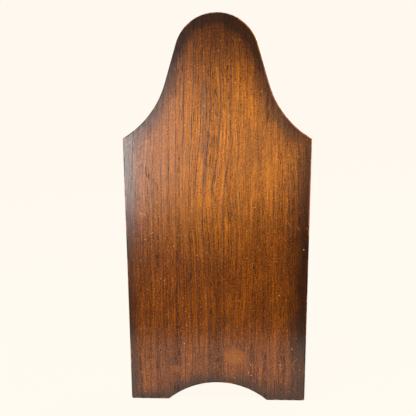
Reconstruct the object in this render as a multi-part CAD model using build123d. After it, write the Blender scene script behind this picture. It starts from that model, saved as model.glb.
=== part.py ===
"""Standing hand bellows: a plain back board on two feet, a hinged front board, and a leather bag between them.

Millimetres, +Z up. The back board's outer face looks along -Y and the nozzle points along +Y. The origin is on
the surface that the bellows stands on, at the middle of its bounding box.
"""

import os
from math import acos, atan, ceil, cos, degrees, hypot, pi, radians, sin, sqrt, tan

from build123d import *

# ---- Driving dimensions -------------------------------------------------------------------------------------
BOARD_HEIGHT = 400.0
BASE_HALF_WIDTH = 90.0
SHOULDER_HALF_WIDTH = 97.0
SHOULDER_Z = 272.0
BOARD_THICKNESS = 12.0
CROWN_RADIUS = 43.5
FLANK_ANGLE = radians(16)  # of the straight flanks below the crown, from the vertical
FLANK_LENGTH = 42.0
ARCH_HALF_WIDTH = 51.0
ARCH_RISE = 18.0
OVERALL_DEPTH = 170.0
ARRIS = 0.8  # edge rounding of the boards
CORNER = 2.0  # rounding of the foot corners

# The front board is a little smaller than the back board, and its foot arch is wider and taller.
FRONT_INSET = 5.0
FRONT_ARCH_HALF_WIDTH = 60.0
FRONT_ARCH_RISE = 24.0

# The bag, from the boards' sides inwards
BAG_INSET = 12.0
BAG_CROWN_Z = 230.0  # centre of the bag's round top
BEARER_WIDTH = 14.0
BEARER_DEPTH = 12.0
CLOSED_GAP = 16.0  # between the two bearers when the bellows is shut
WELT_THICKNESS = 2.5  # leather margin and welt strip together
WELT_WIDTH = 9.0
GUSSET_THICKNESS = 1.8
RIB_WIDTH = 12.0
RIB_DEPTH = 3.0
RIB_INSET = 1.5
RIB_FOOT = 9.0  # from the block's top to the rib's lower ends
OPEN_CLEARANCE = 0.3  # between faces of pieces that move apart

# Nozzle block and nozzle
BLOCK_BOTTOM_Z = 24.0
BLOCK_TOP_Z = 73.0
NOZZLE_Z = 46.0
NOZZLE_TAIL_RADIUS = 8.0
NOZZLE_TAIL_LENGTH = 14.0  # inside the block
NOZZLE_TIP_RADIUS = 5.2
NOZZLE_BORE_RADIUS = 3.5
TIP_RING_LENGTH = 6.0
TIP_RING_WALL = 1.6
COLLAR_LENGTH = 4.0
COLLAR_RADIUS = 11.0
FLANGE_RADIUS = 20.0
FLANGE_THICKNESS = 2.0
AIRWAY_RADIUS = 10.0

# Butt hinges
HINGE_X = 48.0
HINGE_WIDTH = 36.0
HINGE_LEAF_HEIGHT = 22.0
LEAF_THICKNESS = 1.6
KNUCKLE_RADIUS = 2.6
KNUCKLE_GAP = 0.3
PIN_RADIUS = 1.25
PIN_CLEARANCE = 0.05
LEAF_SCREWS = ((-12.0, 9.0), (0.0, 16.0), (12.0, 9.0))  # along the leaf and away from the pin

# Valve in the front board
VALVE_Z = 185.0
VALVE_HOLE_RADIUS = 14.0
FLAP_SIZE = 44.0
FLAP_THICKNESS = 3.0
FACING_THICKNESS = 1.2
TAB_HEIGHT = 13.0
TAB_WIDTH = 30.0
STRAP_THICKNESS = 1.4
STRAP_HEIGHT = 10.0
STRAP_REACH = 14.0  # how far the strap stands off the board
STRAP_HALF_WIDTH = 36.0
GRILLE_RADIUS = 22.0
GRILLE_THICKNESS = 1.5

# Fasteners
NAIL_HEAD_RADIUS = 3.0
NAIL_HEAD_HEIGHT = 2.0
NAIL_SHANK_RADIUS = 0.7
NAIL_LENGTH = 11.0
NAIL_SPACING = 14.5
TACK_HEAD_RADIUS = 1.8
TACK_HEAD_HEIGHT = 0.8
TACK_LENGTH = 6.0
SCREW_HEAD_RADIUS = 2.4
SCREW_SHANK_RADIUS = 1.1
SCREW_LENGTH = 10.0
APRON_SCREW_HEAD_RADIUS = 3.5
APRON_SCREW_SHANK_RADIUS = 1.8
APRON_SCREW_LENGTH = 32.0
DOWEL_RADIUS = 4.0
DOWEL_LENGTH = 28.0
DOWEL_IN_BOARD = 7.0

# ---- Positions that follow from them ------------------------------------------------------------------------
BACK_FACE_Y = -OVERALL_DEPTH / 2
BACK_INNER_Y = BACK_FACE_Y + BOARD_THICKNESS
BACK_BEARER_Y = BACK_INNER_Y + BEARER_DEPTH  # the back bearer's free face
FRONT_BEARER_Y = BACK_BEARER_Y + CLOSED_GAP
FRONT_INNER_Y = FRONT_BEARER_Y + BEARER_DEPTH
FRONT_FACE_Y = FRONT_INNER_Y + BOARD_THICKNESS
BLOCK_MIDDLE_Y = (BACK_INNER_Y + FRONT_INNER_Y) / 2
RIB_Y = (BACK_BEARER_Y + FRONT_BEARER_Y) / 2
TIP_Y = OVERALL_DEPTH / 2
HINGE_Y = FRONT_FACE_Y + KNUCKLE_RADIUS + 0.2
HINGE_Z = BLOCK_TOP_Z + 1.0
FRONT_BOARD_Z = BLOCK_TOP_Z + 2.0
FLAP_TOP_Z = VALVE_Z + FLAP_SIZE / 2
TAPER = atan((SHOULDER_HALF_WIDTH - BASE_HALF_WIDTH) / SHOULDER_Z)
CROWN_Z = BOARD_HEIGHT - CROWN_RADIUS


# ---- Outlines in the X-Z plane, as lists of edges given by two points (a line) or three (an arc) -------------
def polar(centre, radius, angle):
    return centre[0] + radius * cos(angle), centre[1] + radius * sin(angle)


def arc(centre, radius, start, end):
    return [polar(centre, radius, start + (end - start) * share) for share in (0, 0.5, 1)]


def side_x(z, inset):
    """Half-width of the board's straight tapered part at height z."""
    return BASE_HALF_WIDTH + z * tan(TAPER) - inset / cos(TAPER)


def cove():
    """Centre and radius of the hollow curve between flank and shoulder, tangent to the flank."""
    normal = (cos(FLANK_ANGLE), sin(FLANK_ANGLE))
    top = polar((0, CROWN_Z), CROWN_RADIUS, FLANK_ANGLE)
    foot = (top[0] + FLANK_LENGTH * sin(FLANK_ANGLE), top[1] - FLANK_LENGTH * cos(FLANK_ANGLE))
    to_shoulder = (SHOULDER_HALF_WIDTH - foot[0], SHOULDER_Z - foot[1])
    along = to_shoulder[0] * normal[0] + to_shoulder[1] * normal[1]
    radius = hypot(*to_shoulder) ** 2 / (2 * along)
    return (foot[0] + radius * normal[0], foot[1] + radius * normal[1]), radius


def shoulder_point(inset):
    """Where the cove meets the straight side, both moved inwards by inset."""
    (cx, cz), radius = cove()
    slope, base = tan(TAPER), side_x(0, inset)
    a = 1 + slope**2
    b = slope * (base - cx) - cz
    c = (base - cx) ** 2 + cz**2 - (radius + inset) ** 2
    z = (-b - sqrt(b * b - a * c)) / a
    return side_x(z, inset), z


def board_top(inset, bottom_z):
    """Right half of a board from its crown down to bottom_z on its side."""
    centre, radius = cove()
    crown = arc((0, CROWN_Z), CROWN_RADIUS - inset, pi / 2, FLANK_ANGLE)
    shoulder = shoulder_point(inset)
    start = pi + FLANK_ANGLE
    end = 2 * pi - acos((shoulder[0] - centre[0]) / (radius + inset))
    hollow = arc(centre, radius + inset, start, end)
    side_foot = (side_x(bottom_z, inset), bottom_z)
    return [crown, [crown[-1], hollow[0]], hollow, [shoulder, side_foot]]


def foot_arch(side_foot, half_width, rise):
    """Right half of a board's lower edge, from its side to the top of the arch."""
    radius = (half_width**2 + rise**2) / (2 * rise)
    angle = acos(half_width / radius)
    return [[side_foot, (half_width, 0)], arc((0, rise - radius), radius, angle, pi / 2)]


def mirrored(edges):
    return [[(-x, z) for x, z in reversed(points)] for points in reversed(edges)]


def plate(edges, y, thickness):
    """A flat piece with this outline, from y towards +Y."""
    made = []
    for points in edges:
        corners = [Vector(px, y, pz) for px, pz in points]
        if len(corners) == 3:
            made.append(Edge.make_three_point_arc(*corners))
        else:
            made.append(Edge.make_line(*corners))
    return extrude(Face(Wire(made)), amount=thickness, dir=(0, 1, 0))


def eased(piece, radius=ARRIS):
    """Rounds the edges round a plate's two flat faces."""
    faces = piece.faces().filter_by(Axis.Y).sort_by(Axis.Y)
    return fillet(faces[0].edges() + faces[-1].edges(), radius)


def foot_corners(piece):
    corners = piece.edges().filter_by(Axis.Y).group_by(Axis.Z)[0]
    return fillet(corners, CORNER)


def box_between(low, high):
    size = [b - a for a, b in zip(low, high)]
    middle = [(a + b) / 2 for a, b in zip(low, high)]
    return Pos(*middle) * Box(*size)


# ---- The bag's outline: two tapered sides and a round top ----------------------------------------------------
def bag_radius(inset):
    return side_x(BAG_CROWN_Z, BAG_INSET + inset) * cos(TAPER)


def stile(outer, inner, bottom_z, y, depth):
    """Right-hand straight piece of a ring that follows the bag's outline between two insets."""
    centre = (0, BAG_CROWN_Z)
    corners = [
        (side_x(bottom_z, BAG_INSET + outer), bottom_z),
        polar(centre, bag_radius(outer), -TAPER),
        polar(centre, bag_radius(inner), -TAPER),
        (side_x(bottom_z, BAG_INSET + inner), bottom_z),
    ]
    return plate([list(pair) for pair in zip(corners, corners[1:] + corners[:1])], y, depth)


def round_top(outer, inner, y, depth):
    centre = (0, BAG_CROWN_Z)
    outside = arc(centre, bag_radius(outer), -TAPER, pi + TAPER)
    inside = arc(centre, bag_radius(inner), pi + TAPER, -TAPER)
    edges = [outside, [outside[-1], inside[0]], inside, [inside[-1], outside[0]]]
    return plate(edges, y, depth)


def hoop(outer, inner, bottom_z, y, depth):
    """Left, right and top pieces of such a ring."""
    right = stile(outer, inner, bottom_z, y, depth)
    return mirror(right, about=Plane.YZ), right, round_top(outer, inner, y, depth)


def bag_points(inset, spacing, bottom_z):
    """Evenly spaced points round the bag from one lower end to the other, each with its outward angle."""
    radius = bag_radius(inset)
    spring_z = BAG_CROWN_Z - radius * sin(TAPER)
    side = (spring_z - bottom_z) / cos(TAPER)
    sweep = pi + 2 * TAPER
    total = 2 * side + radius * sweep
    count = ceil(total / spacing) + 1
    found = []
    for i in range(count):
        run = total * i / (count - 1)
        if run < side or run > total - side:
            z = bottom_z + min(run, total - run) * cos(TAPER)
            right_hand = run < side
            x = side_x(z, BAG_INSET + inset) * (1 if right_hand else -1)
            angle = -TAPER if right_hand else pi + TAPER
        else:
            angle = -TAPER + (run - side) / radius
            x, z = polar((0, BAG_CROWN_Z), radius, angle)
        found.append((x, z, angle))
    return found


# ---- Fasteners, made along +Z with the head's underside at the origin ----------------------------------------
def round_nail(head_radius, head_height, shank_radius, length):
    dome = ThreePointArc(
        (0, head_height),
        (head_radius * 0.75, head_height * 0.68),
        (head_radius, 0),
    )
    stem = Polyline(
        (head_radius, 0),
        (shank_radius, 0),
        (shank_radius, -length + 2 * shank_radius),
        (0, -length),
        (0, head_height),
    )
    return revolve(Plane.XZ * make_face(dome + stem), Axis.Z)


def flat_screw(head_radius, shank_radius, length):
    """Countersunk wood screw with a slot, its head flush with the origin."""
    head_depth = head_radius - shank_radius
    profile = Polyline(
        (0, 0),
        (head_radius, 0),
        (shank_radius, -head_depth),
        (shank_radius, -length + 2 * shank_radius),
        (0, -length),
        close=True,
    )
    body = revolve(Plane.XZ * make_face(profile), Axis.Z)
    slot = Box(2 * head_radius, head_radius * 0.3, head_depth)
    return body, body - slot


def facing(x, y, z, direction=(0, 1, 0)):
    """Places a fastener's +Z along direction."""
    return Plane(origin=(x, y, z), z_dir=direction).location


def placed(piece, places):
    return [place * piece for place in places]


def joined(pieces):
    whole = pieces[0]
    for piece in pieces[1:]:
        whole += piece
    return whole


def drilled(piece, fasteners):
    for fastener in fasteners:
        piece -= fastener
    return piece


def nails_round_bag(y, bottom_z):
    nail = round_nail(NAIL_HEAD_RADIUS, NAIL_HEAD_HEIGHT, NAIL_SHANK_RADIUS, NAIL_LENGTH)
    places = [
        facing(px, y, pz, (cos(angle), 0, sin(angle)))
        for px, pz, angle in bag_points(-WELT_THICKNESS, NAIL_SPACING, bottom_z)
    ]
    return placed(nail, places)


# ---- Fixed body: back board, block, apron, nozzle ------------------------------------------------------------
def make_block():
    """The block between the boards' feet, with the airway from the bag down to the nozzle."""
    corners = [
        (side_x(BLOCK_TOP_Z, BAG_INSET), BLOCK_TOP_Z),
        (side_x(BLOCK_BOTTOM_Z, BAG_INSET), BLOCK_BOTTOM_Z),
    ]
    corners += [(-px, pz) for px, pz in reversed(corners)]
    edges = [list(pair) for pair in zip(corners, corners[1:] + corners[:1])]
    block = plate(edges, BACK_INNER_Y, FRONT_INNER_Y - BACK_INNER_Y)
    airway_depth = BLOCK_TOP_Z - NOZZLE_Z
    airway = Pos(0, BLOCK_MIDDLE_Y, NOZZLE_Z + airway_depth / 2) * Cylinder(AIRWAY_RADIUS, airway_depth)
    bore_length = FRONT_INNER_Y - BLOCK_MIDDLE_Y + NOZZLE_TAIL_RADIUS
    bore = facing(0, FRONT_INNER_Y - bore_length / 2, NOZZLE_Z) * Cylinder(NOZZLE_TAIL_RADIUS, bore_length)
    return block - airway - bore


def make_nozzle():
    collar_y = FRONT_FACE_Y + FLANGE_THICKNESS
    cone_y = collar_y + COLLAR_LENGTH
    ring_y = TIP_Y - TIP_RING_LENGTH
    outside = [
        (NOZZLE_TAIL_RADIUS, FRONT_INNER_Y - NOZZLE_TAIL_LENGTH),
        (NOZZLE_TAIL_RADIUS, collar_y),
        (COLLAR_RADIUS, collar_y),
        (COLLAR_RADIUS, collar_y + COLLAR_LENGTH * 0.6),
        (NOZZLE_TAIL_RADIUS, cone_y),
        (NOZZLE_TIP_RADIUS, ring_y),
        (NOZZLE_TIP_RADIUS, TIP_Y),
    ]
    inside = [
        (NOZZLE_BORE_RADIUS, TIP_Y),
        (NOZZLE_BORE_RADIUS, ring_y),
        (NOZZLE_TAIL_RADIUS - 1.5, cone_y),
        (NOZZLE_TAIL_RADIUS - 1.5, FRONT_INNER_Y - NOZZLE_TAIL_LENGTH),
    ]
    profile = make_face(Polyline(*outside, *inside, close=True))
    tube = Pos(0, 0, NOZZLE_Z) * revolve(profile, Axis.Y)
    ring = facing(0, TIP_Y - TIP_RING_LENGTH / 2, NOZZLE_Z) * (
        Cylinder(NOZZLE_TIP_RADIUS + TIP_RING_WALL, TIP_RING_LENGTH)
        - Cylinder(NOZZLE_TIP_RADIUS, TIP_RING_LENGTH)
    )
    ring = fillet(ring.edges().filter_by(GeomType.CIRCLE).sort_by(SortBy.RADIUS)[-2:], TIP_RING_WALL * 0.6)
    return tube, ring


def make_flange():
    disc = facing(0, FRONT_FACE_Y + FLANGE_THICKNESS / 2, NOZZLE_Z) * Cylinder(FLANGE_RADIUS, FLANGE_THICKNESS)
    rim = disc.edges().filter_by(GeomType.CIRCLE).sort_by(Axis.Y)[-1]
    disc = fillet(rim, FLANGE_THICKNESS * 0.45)
    hole = facing(0, FRONT_FACE_Y + FLANGE_THICKNESS / 2, NOZZLE_Z) * Cylinder(NOZZLE_TAIL_RADIUS, FLANGE_THICKNESS)
    turns = [radians(a) for a in (90, 210, 330)]
    places = []
    for turn in turns:
        x, z = polar((0, NOZZLE_Z), (FLANGE_RADIUS + COLLAR_RADIUS) / 2, turn)
        places.append(facing(x, FRONT_FACE_Y + FLANGE_THICKNESS, z))
    return disc - hole, places


def make_back_board():
    right = board_top(0, 0)
    right += foot_arch(right[-1][-1], ARCH_HALF_WIDTH, ARCH_RISE)
    return eased(foot_corners(plate(right + mirrored(right), BACK_FACE_Y, BOARD_THICKNESS)))


def make_apron():
    side = [(side_x(BLOCK_TOP_Z, FRONT_INSET), BLOCK_TOP_Z), (side_x(0, FRONT_INSET), 0)]
    right = [side] + foot_arch(side[-1], FRONT_ARCH_HALF_WIDTH, FRONT_ARCH_RISE)
    top = [(-side[0][0], BLOCK_TOP_Z), side[0]]
    apron = eased(foot_corners(plate([top] + right + mirrored(right), FRONT_INNER_Y, BOARD_THICKNESS)))
    return apron - facing(0, FRONT_INNER_Y, NOZZLE_Z) * Cylinder(NOZZLE_TAIL_RADIUS, 3 * BOARD_THICKNESS)


def block_fasteners():
    """Dowels into the back board, and screws through the apron."""
    dowel = Cylinder(DOWEL_RADIUS, DOWEL_LENGTH)
    dowel_y = BACK_INNER_Y - DOWEL_IN_BOARD + DOWEL_LENGTH / 2
    middle_z = (BLOCK_BOTTOM_Z + BLOCK_TOP_Z) / 2
    dowels = [facing(x, dowel_y, middle_z) * dowel for x in (-60, -32, 32, 60)]
    screw_x = side_x(0, BAG_INSET) - 8
    screw_rows = (BLOCK_BOTTOM_Z + 9, BLOCK_TOP_Z - 9)
    places = [facing(x, FRONT_FACE_Y, z) for x in (-screw_x, screw_x) for z in screw_rows]
    return dowels, places


# ---- Hinges --------------------------------------------------------------------------------------------------
def leaf_knuckles(upper):
    """Spans along X, from the leaf's middle, of this leaf's knuckles."""
    third = HINGE_WIDTH / 6
    if upper:
        return [(-third + KNUCKLE_GAP / 2, third - KNUCKLE_GAP / 2)]
    return [(-HINGE_WIDTH / 2, -third - KNUCKLE_GAP / 2), (third + KNUCKLE_GAP / 2, HINGE_WIDTH / 2)]


def hinge_leaf(x, upper):
    way = 1 if upper else -1
    bore = PIN_RADIUS + (PIN_CLEARANCE if upper else 0)
    near = HINGE_Z + way * (KNUCKLE_RADIUS + 0.6)
    far = HINGE_Z + way * HINGE_LEAF_HEIGHT
    low_z, high_z = sorted((near, far))
    half = HINGE_WIDTH / 2
    leaf = box_between((x - half, FRONT_FACE_Y, low_z), (x + half, FRONT_FACE_Y + LEAF_THICKNESS, high_z))
    far_corners = leaf.edges().filter_by(Axis.Y).sort_by(Axis.Z)
    leaf = fillet(far_corners[-2:] if upper else far_corners[:2], 1.5)
    for start, end in leaf_knuckles(upper):
        low_z, high_z = sorted((HINGE_Z, near))
        leaf += box_between(
            (x + start, FRONT_FACE_Y, low_z), (x + end, FRONT_FACE_Y + LEAF_THICKNESS, high_z)
        )
        barrel = Cylinder(KNUCKLE_RADIUS, end - start)
        leaf += facing(x + (start + end) / 2, HINGE_Y, HINGE_Z, (1, 0, 0)) * barrel
    leaf -= facing(x, HINGE_Y, HINGE_Z, (1, 0, 0)) * Cylinder(bore, HINGE_WIDTH + 2)
    places = [
        facing(x + dx, FRONT_FACE_Y + LEAF_THICKNESS, HINGE_Z + way * dz) for dx, dz in LEAF_SCREWS
    ]
    return leaf, places


def hinge_pin(x):
    return facing(x, HINGE_Y, HINGE_Z, (1, 0, 0)) * Cylinder(PIN_RADIUS, HINGE_WIDTH)


# ---- Valve ---------------------------------------------------------------------------------------------------
def make_grille():
    """Pierced disc over the valve hole, and the places of its pins."""
    disc = Cylinder(GRILLE_RADIUS, GRILLE_THICKNESS)
    disc = fillet(disc.edges().filter_by(GeomType.CIRCLE).sort_by(Axis.Z)[-1], GRILLE_THICKNESS * 0.5)
    disc -= Cylinder(2.6, GRILLE_THICKNESS)
    for ring_radius, hole_radius, count in ((8.2, 3.1, 6),):
        for i in range(count):
            disc -= Pos(*polar((0, 0), ring_radius, 2 * pi * i / count + pi / 6), 0) * Cylinder(
                hole_radius, GRILLE_THICKNESS
            )
    middle_y = FRONT_FACE_Y + GRILLE_THICKNESS / 2
    places = []
    for i in range(4):
        x, z = polar((0, VALVE_Z), GRILLE_RADIUS - 3.6, pi / 4 + pi / 2 * i)
        places.append(facing(x, FRONT_FACE_Y + GRILLE_THICKNESS, z))
    return facing(0, middle_y, VALVE_Z) * disc, places


def make_flap():
    """The flap's wood, the leather facing that seals it, and the leather tab it hangs from."""
    half = FLAP_SIZE / 2
    facing_y = FRONT_INNER_Y - OPEN_CLEARANCE - FACING_THICKNESS
    low, high = VALVE_Z - half, FLAP_TOP_Z
    wood = box_between((-half, facing_y - FLAP_THICKNESS, low), (half, facing_y, high))
    leather = box_between((-half, facing_y, low), (half, facing_y + FACING_THICKNESS, high))
    wood = fillet(wood.edges().filter_by(Axis.Y), 4)
    leather = fillet(leather.edges().filter_by(Axis.Y), 4)
    tab_z = high + OPEN_CLEARANCE
    tab = box_between((-TAB_WIDTH / 2, facing_y, tab_z), (TAB_WIDTH / 2, FRONT_INNER_Y, tab_z + TAB_HEIGHT))
    places = [facing(x, facing_y, tab_z + TAB_HEIGHT / 2, (0, -1, 0)) for x in (-10, 0, 10)]
    return wood, leather, tab, places


def make_strap():
    """Leather keeper that stops the flap from falling away from its hole."""
    foot_x = STRAP_HALF_WIDTH
    leg_x = FLAP_SIZE / 2 + 5
    far_x = leg_x - 2
    low = VALVE_Z - FLAP_SIZE / 2 + 6
    inner, outer = FRONT_INNER_Y, FRONT_INNER_Y - STRAP_THICKNESS
    reach = FRONT_INNER_Y - STRAP_REACH
    near_side = [(foot_x, inner), (leg_x, inner), (far_x, reach + STRAP_THICKNESS)]
    far_side = [(far_x + STRAP_THICKNESS, reach), (leg_x + STRAP_THICKNESS, outer), (foot_x, outer)]
    mirrored_near = [(-x, y) for x, y in reversed(near_side)]
    mirrored_far = [(-x, y) for x, y in reversed(far_side)]
    profile = make_face(Polyline(*near_side, *mirrored_near, *mirrored_far, *far_side, close=True))
    strap = Pos(0, 0, low) * extrude(profile, amount=STRAP_HEIGHT)
    tack_x = (foot_x + leg_x + STRAP_THICKNESS) / 2
    places = [facing(x, outer, low + STRAP_HEIGHT / 2, (0, -1, 0)) for x in (-tack_x, tack_x)]
    return strap, places


def make_front_board():
    right = board_top(FRONT_INSET, FRONT_BOARD_Z)
    foot = [(-right[-1][-1][0], FRONT_BOARD_Z), right[-1][-1]]
    board = eased(plate(right + [foot[::-1]] + mirrored(right), FRONT_INNER_Y, BOARD_THICKNESS))
    return board - facing(0, FRONT_INNER_Y, VALVE_Z) * Cylinder(VALVE_HOLE_RADIUS, 3 * BOARD_THICKNESS)


# ---- The two sets of bearers, with their welts and nails -------------------------------------------------------
def bearer_set(y, bottom_z):
    """Bearers with the welt round them and the nails through it, for the board that this set is glued to."""
    left, right, top = hoop(0, BEARER_WIDTH, bottom_z, y, BEARER_DEPTH)
    welt_y = y + (BEARER_DEPTH - WELT_WIDTH) / 2
    welt = joined(hoop(-WELT_THICKNESS, 0, bottom_z, welt_y, WELT_WIDTH))
    nails = nails_round_bag(y + BEARER_DEPTH / 2, bottom_z + 6)
    return [drilled(piece, nails) for piece in (left, right, top, welt)] + [nails]


def block_margin():
    """The leather's lower ends, nailed to the block's sides under a short welt."""
    low_z = BLOCK_TOP_Z - 12
    half_depth = (FRONT_INNER_Y - BACK_INNER_Y) / 2 - 2
    corners = [
        (side_x(low_z, BAG_INSET), low_z),
        (side_x(low_z + WELT_WIDTH, BAG_INSET), low_z + WELT_WIDTH),
        (side_x(low_z + WELT_WIDTH, BAG_INSET - WELT_THICKNESS), low_z + WELT_WIDTH),
        (side_x(low_z, BAG_INSET - WELT_THICKNESS), low_z),
    ]
    edges = [list(pair) for pair in zip(corners, corners[1:] + corners[:1])]
    welt = plate(edges, BLOCK_MIDDLE_Y - half_depth, 2 * half_depth)
    nail = round_nail(NAIL_HEAD_RADIUS, NAIL_HEAD_HEIGHT, NAIL_SHANK_RADIUS, NAIL_LENGTH)
    nail_z = low_z + WELT_WIDTH / 2
    nail_x = side_x(nail_z, BAG_INSET - WELT_THICKNESS)
    outward = (cos(TAPER), 0, -sin(TAPER))
    nails = [
        facing(nail_x, BLOCK_MIDDLE_Y + dy, nail_z, outward) * nail for dy in (-half_depth + 5, 0, half_depth - 5)
    ]
    return welt, nails


def gusset_band():
    """Plain stand-in for the folded leather between the two bearers."""
    outside = -1.0
    pieces = hoop(
        outside,
        outside + GUSSET_THICKNESS,
        BLOCK_TOP_Z,
        BACK_BEARER_Y + OPEN_CLEARANCE,
        CLOSED_GAP - 2 * OPEN_CLEARANCE,
    )
    return joined(pieces)


def hinge_strip():
    """Leather that seals the hinge line inside, bent from the block's top up the front board."""
    half = side_x(BLOCK_TOP_Z, BAG_INSET + BEARER_WIDTH) - 2
    thick = 1.2
    near = FRONT_INNER_Y - OPEN_CLEARANCE
    foot = box_between((-half, near - 16, BLOCK_TOP_Z), (half, near, BLOCK_TOP_Z + thick))
    upright = box_between((-half, near - thick, BLOCK_TOP_Z), (half, near, BLOCK_TOP_Z + 19))
    return foot + upright


# ---- Assembly ------------------------------------------------------------------------------------------------
def build():
    nodes = {}
    cutter, screw = flat_screw(SCREW_HEAD_RADIUS, SCREW_SHANK_RADIUS, SCREW_LENGTH)
    apron_cutter, apron_screw = flat_screw(
        APRON_SCREW_HEAD_RADIUS, APRON_SCREW_SHANK_RADIUS, APRON_SCREW_LENGTH
    )
    tack = round_nail(TACK_HEAD_RADIUS, TACK_HEAD_HEIGHT, NAIL_SHANK_RADIUS, TACK_LENGTH)

    # back board, block and apron
    dowels, apron_places = block_fasteners()
    block = drilled(make_block(), dowels + placed(apron_cutter, apron_places))
    apron = drilled(make_apron(), placed(apron_cutter, apron_places))
    nodes["back_board"] = drilled(make_back_board(), dowels)
    nodes["block_dowels"] = dowels
    nodes["apron_screws"] = placed(apron_screw, apron_places)

    # nozzle
    nodes["nozzle_tube"], nodes["nozzle_tip_ring"] = make_nozzle()
    flange, flange_places = make_flange()
    flange_cutters = placed(cutter, flange_places)
    nodes["nozzle_flange"] = drilled(flange, flange_cutters)
    nodes["flange_screws"] = placed(screw, flange_places)
    apron = drilled(apron, flange_cutters)

    # bearers, welts and nails
    back_set = bearer_set(BACK_INNER_Y, BLOCK_TOP_Z)
    front_set = bearer_set(FRONT_BEARER_Y, BLOCK_TOP_Z + 3)
    for name, pieces in (("back", back_set), ("front", front_set)):
        names = ("bearer_left", "bearer_right", "bearer_top", "welt", "nails")
        for part_name, piece in zip(names, pieces):
            nodes[f"{name}_{part_name}"] = piece
    right_welt, right_nails = block_margin()
    left_nails = [mirror(nail, about=Plane.YZ) for nail in right_nails]
    block = drilled(block, right_nails + left_nails)
    nodes["block_welt_right"] = drilled(right_welt, right_nails)
    nodes["block_welt_left"] = mirror(nodes["block_welt_right"], about=Plane.YZ)
    nodes["block_nails"] = right_nails + left_nails

    # front board and its hinges
    front_board = make_front_board()
    screws = {"lower": [], "upper": []}
    for side, x in (("left", -HINGE_X), ("right", HINGE_X)):
        for level in ("lower", "upper"):
            leaf, places = hinge_leaf(x, level == "upper")
            cutters = placed(cutter, places)
            nodes[f"{side}_hinge_{level}_leaf"] = drilled(leaf, cutters)
            screws[level] += placed(screw, places)
            if level == "upper":
                front_board = drilled(front_board, cutters)
            else:
                apron = drilled(apron, cutters)
        nodes[f"{side}_hinge_pin"] = hinge_pin(x)
    nodes["hinge_lower_screws"] = screws["lower"]
    nodes["hinge_upper_screws"] = screws["upper"]
    nodes["front_apron"] = apron
    nodes["nozzle_block"] = block

    # valve
    flap, facing_leather, tab, tab_places = make_flap()
    strap, strap_places = make_strap()
    grille, pin_places = make_grille()
    tab_tacks, strap_tacks, pins = (placed(tack, p) for p in (tab_places, strap_places, pin_places))
    nodes["valve_flap"], nodes["valve_facing"] = flap, facing_leather
    nodes["valve_tab"] = drilled(tab, tab_tacks)
    nodes["valve_strap"] = drilled(strap, strap_tacks)
    nodes["valve_grille"] = drilled(grille, pins)
    nodes["valve_tacks"] = tab_tacks + strap_tacks
    nodes["grille_pins"] = pins
    nodes["front_board"] = drilled(front_board, tab_tacks + strap_tacks + pins)

    # leather and the rib that holds its middle fold
    nodes["leather_gusset"] = gusset_band()
    nodes["hinge_leather"] = hinge_strip()
    rib_y = RIB_Y - RIB_DEPTH / 2
    ribs = hoop(RIB_INSET, RIB_INSET + RIB_WIDTH, BLOCK_TOP_Z + RIB_FOOT, rib_y, RIB_DEPTH)
    nodes["rib_left"], nodes["rib_right"], nodes["rib_top"] = ribs
    return nodes


def main():
    os.makedirs("parts", exist_ok=True)
    for name, made in build().items():
        pieces = made if isinstance(made, list) else [made]
        solids = [solid for piece in pieces for solid in piece.solids()]
        export_step(solids[0] if len(solids) == 1 else Compound(solids), f"parts/{name}.step")
    print(f"cove radius {cove()[1]:.2f}, taper {degrees(TAPER):.2f} degrees, bag top {BAG_CROWN_Z + bag_radius(0):.1f}")


if __name__ == "__main__":
    main()
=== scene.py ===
"""Looks for the standing hand bellows: oak boards, folded leather bag, domed nails and aged brass."""

from math import atan, cos, hypot, pi, radians, sin, tan

import bmesh
import bpy
import numpy as np
from mathutils import Matrix, Vector


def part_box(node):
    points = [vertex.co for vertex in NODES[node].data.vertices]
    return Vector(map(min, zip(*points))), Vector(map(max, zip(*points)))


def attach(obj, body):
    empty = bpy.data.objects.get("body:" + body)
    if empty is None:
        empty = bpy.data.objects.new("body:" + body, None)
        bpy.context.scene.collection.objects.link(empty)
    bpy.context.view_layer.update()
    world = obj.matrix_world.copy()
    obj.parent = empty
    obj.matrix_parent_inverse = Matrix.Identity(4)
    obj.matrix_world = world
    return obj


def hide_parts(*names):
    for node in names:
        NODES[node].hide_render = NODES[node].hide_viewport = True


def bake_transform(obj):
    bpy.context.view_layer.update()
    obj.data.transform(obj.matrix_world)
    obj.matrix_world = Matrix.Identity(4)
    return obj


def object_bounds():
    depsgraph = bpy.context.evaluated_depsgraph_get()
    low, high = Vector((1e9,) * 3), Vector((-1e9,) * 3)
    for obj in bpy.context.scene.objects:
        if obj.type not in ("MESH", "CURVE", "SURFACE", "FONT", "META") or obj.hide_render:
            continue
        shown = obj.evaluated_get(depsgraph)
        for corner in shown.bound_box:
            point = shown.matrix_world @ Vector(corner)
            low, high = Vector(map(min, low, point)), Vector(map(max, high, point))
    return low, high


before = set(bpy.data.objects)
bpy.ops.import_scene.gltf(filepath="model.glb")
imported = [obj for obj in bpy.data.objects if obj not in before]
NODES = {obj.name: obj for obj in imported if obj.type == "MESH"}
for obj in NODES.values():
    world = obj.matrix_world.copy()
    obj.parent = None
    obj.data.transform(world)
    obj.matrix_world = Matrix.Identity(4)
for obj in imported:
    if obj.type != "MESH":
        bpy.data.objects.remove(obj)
CAD_BOX = [list(corner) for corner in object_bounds()]
MM = 0.001


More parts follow.
